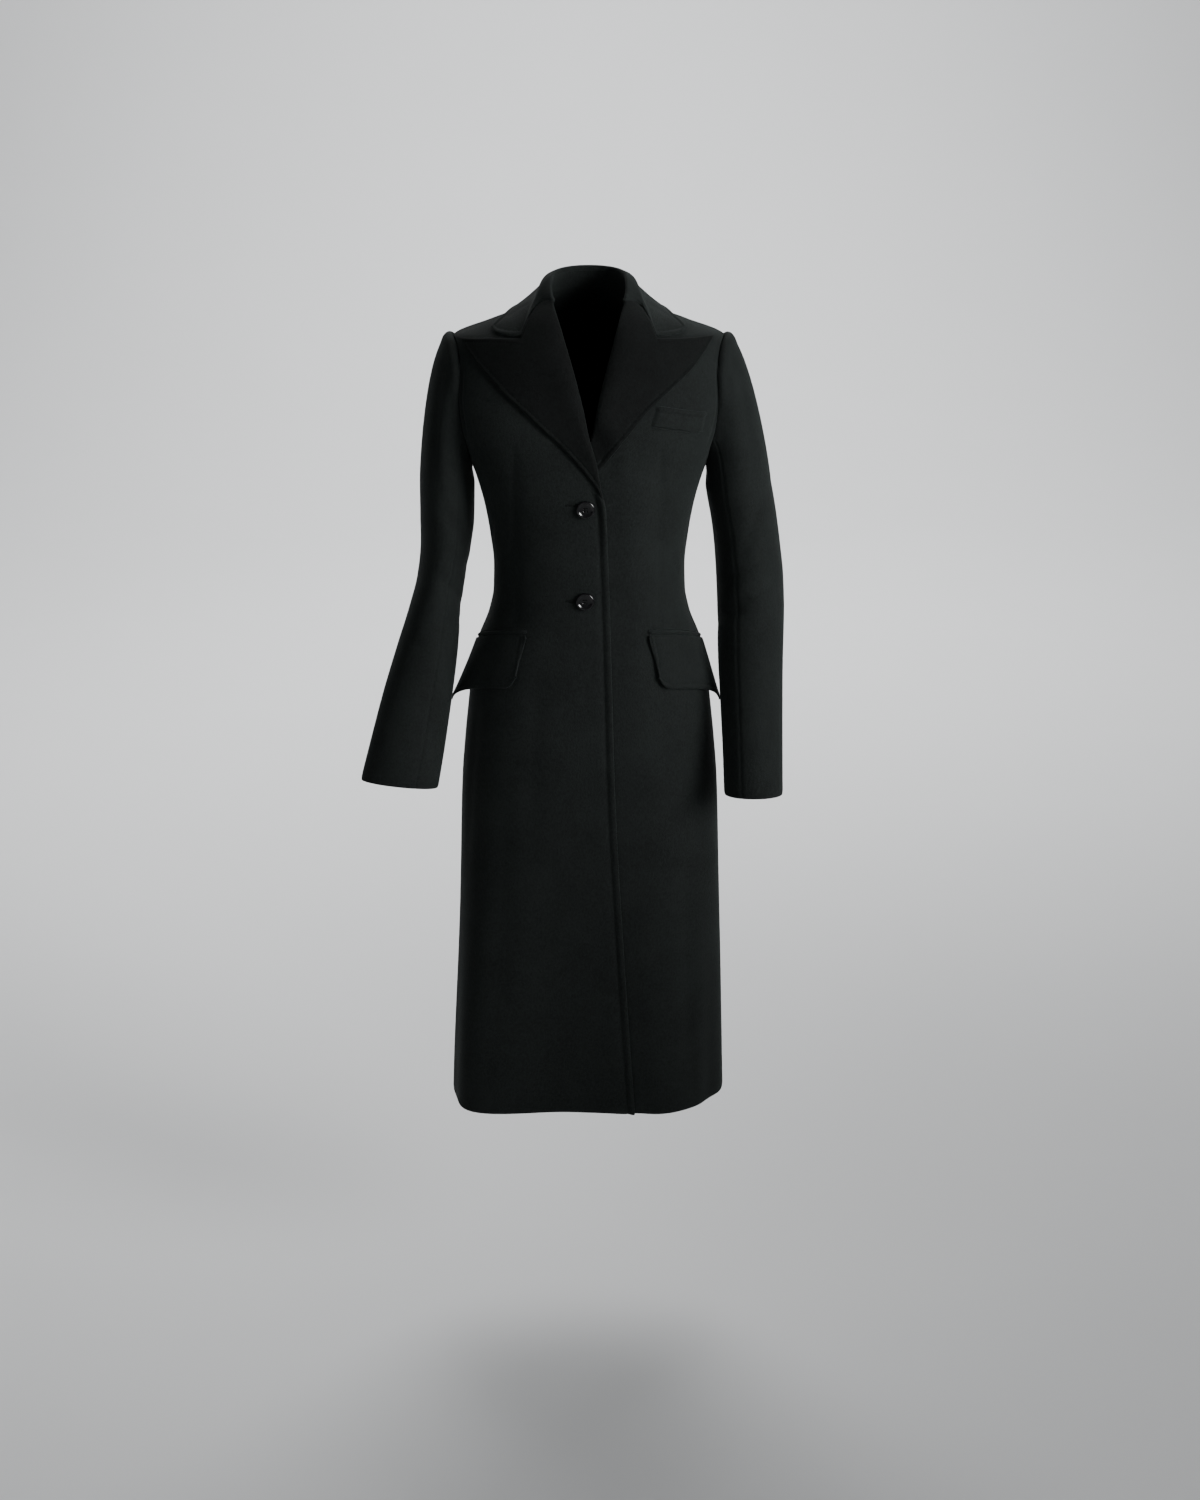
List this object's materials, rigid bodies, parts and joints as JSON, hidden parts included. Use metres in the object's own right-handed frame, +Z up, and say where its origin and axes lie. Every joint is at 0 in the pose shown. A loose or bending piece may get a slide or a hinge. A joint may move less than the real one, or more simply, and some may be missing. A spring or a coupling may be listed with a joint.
{
  "type": "chesterfield coat",
  "caption": "Black wool chesterfield coat of midi length, worn form, hollow, with peak lapels, flared flap pockets and a fitted waist",
  "frame": {"origin": "between the shoulders, where the wearer carries the coat, on the mid line", "axes": "+Z is up, -Y is the front and +X is the wearer's left"},
  "size_m": [0.5621, 0.2519, 1.1491],
  "materials": {
    "wool": "matte black wool with a short soft nap",
    "horn": "polished black horn-look resin"
  },
  "bodies": {
    "root": {"front_right": "wool", "front_left": "wool", "back_right": "wool", "back_left": "wool", "top_sleeve_right": "wool", "under_sleeve_right": "wool", "top_sleeve_left": "wool", "under_sleeve_left": "wool", "collar_stand": "wool", "upper_collar": "wool", "lapel_right": "wool", "lapel_left": "wool", "breast_welt": "wool", "pocket_jet_right": "wool", "pocket_jet_left": "wool", "pocket_flap_right": "wool", "pocket_flap_left": "wool", "button_top": "horn", "button_lower": "horn"}
  },
  "joints": []
}
